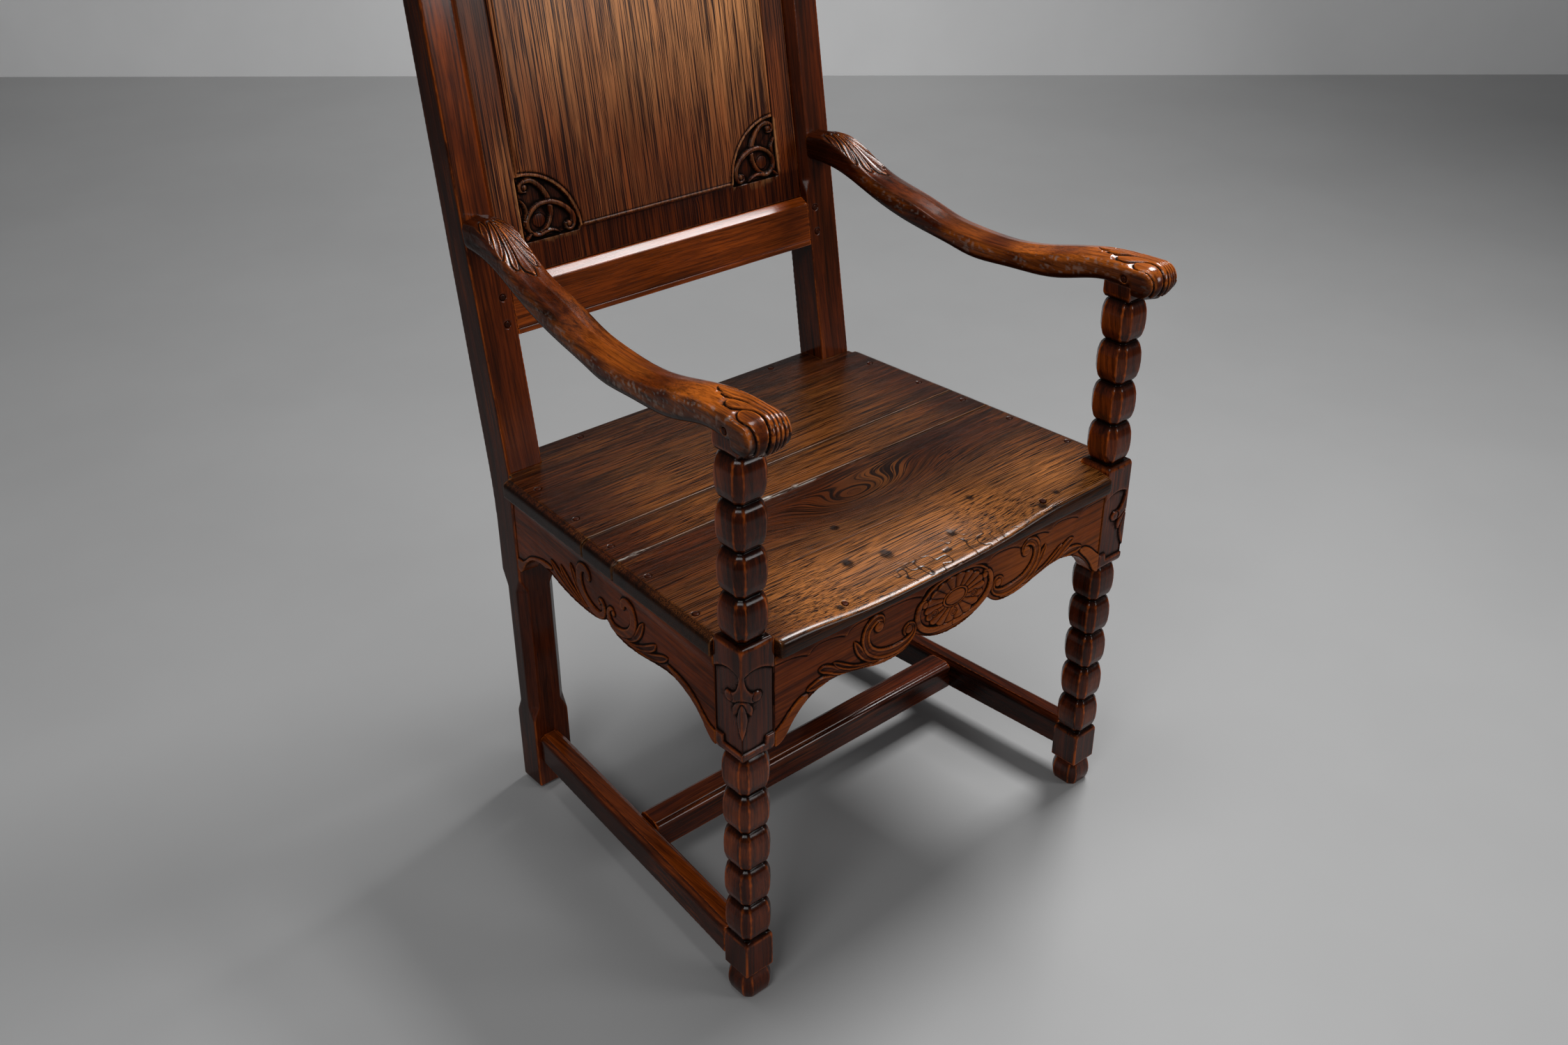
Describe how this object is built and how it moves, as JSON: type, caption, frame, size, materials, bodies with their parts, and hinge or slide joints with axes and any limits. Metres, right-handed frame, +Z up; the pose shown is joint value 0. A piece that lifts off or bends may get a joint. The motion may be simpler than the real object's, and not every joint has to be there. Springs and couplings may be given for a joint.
{
  "type": "wainscot chair",
  "caption": "Joined oak armchair with a leaning panelled back, swept arms with rolled hand-rests, faceted bead legs, plank seat and scroll-cut carved aprons.",
  "frame": {"origin": "on the floor, under the middle of the chair's bounding box", "axes": "+Z up, the chair's front faces -Y, left is -X as seen from the front; mirror-symmetrical about the plane X = 0"},
  "size_m": [0.6018, 0.6222, 1.1566],
  "materials": {
    "frame_oak": "dark waxed oak, worn orange-brown along the edges",
    "panel_oak": "dark waxed oak with open upright grain",
    "seat_oak": "waxed oak, golden brown and worn at the front",
    "apron_oak": "dark waxed oak, carved",
    "arm_oak": "hand-polished oak, golden brown on top",
    "peg_oak": "dark oak end grain"
  },
  "bodies": {
    "root": {"arm_left": "arm_oak", "arm_pegs": "peg_oak", "arm_right": "arm_oak", "back_bottom_rail": "frame_oak", "back_panel": "panel_oak", "back_rail_pegs": "peg_oak", "cross_stretcher": "frame_oak", "front_apron": "apron_oak", "front_post_left": "frame_oak", "front_post_right": "frame_oak", "rear_apron": "apron_oak", "rear_post_left": "frame_oak", "rear_post_right": "frame_oak", "seat_board_front": "seat_oak", "seat_board_middle": "seat_oak", "seat_board_rear": "seat_oak", "seat_pegs": "peg_oak", "side_apron_left": "apron_oak", "side_apron_right": "apron_oak", "side_stretcher_left": "frame_oak", "side_stretcher_right": "frame_oak", "top_rail": "frame_oak", "top_rail_pegs": "peg_oak"}
  },
  "joints": []
}
